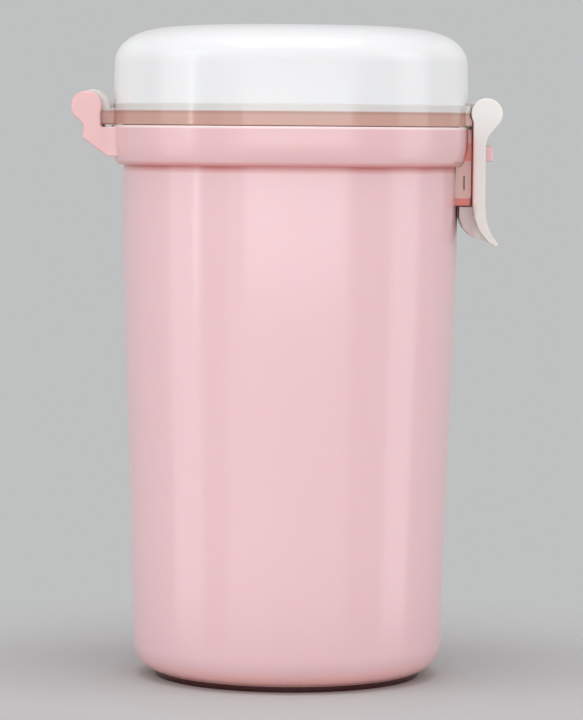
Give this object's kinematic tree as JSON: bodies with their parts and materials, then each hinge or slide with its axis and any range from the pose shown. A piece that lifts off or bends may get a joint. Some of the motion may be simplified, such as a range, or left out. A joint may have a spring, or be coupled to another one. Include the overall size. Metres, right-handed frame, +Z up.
{
  "type": "formula dispenser",
  "caption": "Tall round milk powder tub with a hinged latched dome lid over a rotary pouring disc and a compartment divider.",
  "frame": {"origin": "middle of the object's footprint, on the surface it stands on", "axes": "+Z up along the tub, -X towards the lid's hinge, +X towards the latch, -Y towards the spout at rest"},
  "size_m": [0.1107, 0.093, 0.1688],
  "materials": {
    "pink_shell": "glossy pink polypropylene",
    "pink_trim": "satin pink polypropylene",
    "white_cover": "glossy opaque white",
    "white_moulding": "satin opaque white",
    "clear_frame": "clear polished",
    "natural_plastic": "translucent natural",
    "silicone": "matt translucent",
    "steel": "plain stainless"
  },
  "bodies": {
    "container": {"body_shell": "pink_shell", "collar_ring": "pink_trim", "divider": "natural_plastic", "hub_screw": "steel", "hub_washer": "steel", "hinge_pin": "steel"},
    "disc": {"pour_disc": "white_moulding", "disc_seal": "silicone", "disc_knob": "pink_trim", "flap_pin": "steel"},
    "flap": {"spout_flap": "pink_trim", "spout_seal": "silicone"},
    "lid": {"lid_frame": "clear_frame", "lid_cover": "white_cover", "lid_gasket": "silicone", "latch_pin": "steel"},
    "latch": {"latch_lever": "white_moulding"}
  },
  "joints": [
    {"name": "lid_hinge", "type": "hinge", "parent": "container", "child": "lid", "pos_m": [-0.05245, 0, 0.14755], "axis": [0, -1, 0], "range_deg": [0, 110]},
    {"name": "latch_swing", "type": "hinge", "parent": "lid", "child": "latch", "pos_m": [0.0503, 0, 0.1463], "axis": [0, -1, 0], "range_deg": [0, 100]},
    {"name": "disc_turn", "type": "hinge", "parent": "container", "child": "disc", "pos_m": [0, 0, 0.138], "axis": [0, 0, 1], "continuous": true},
    {"name": "flap_swing", "type": "hinge", "parent": "disc", "child": "flap", "pos_m": [0, -0.0165, 0.1459], "axis": [-1, 0, 0], "range_deg": [0, 95]}
  ]
}
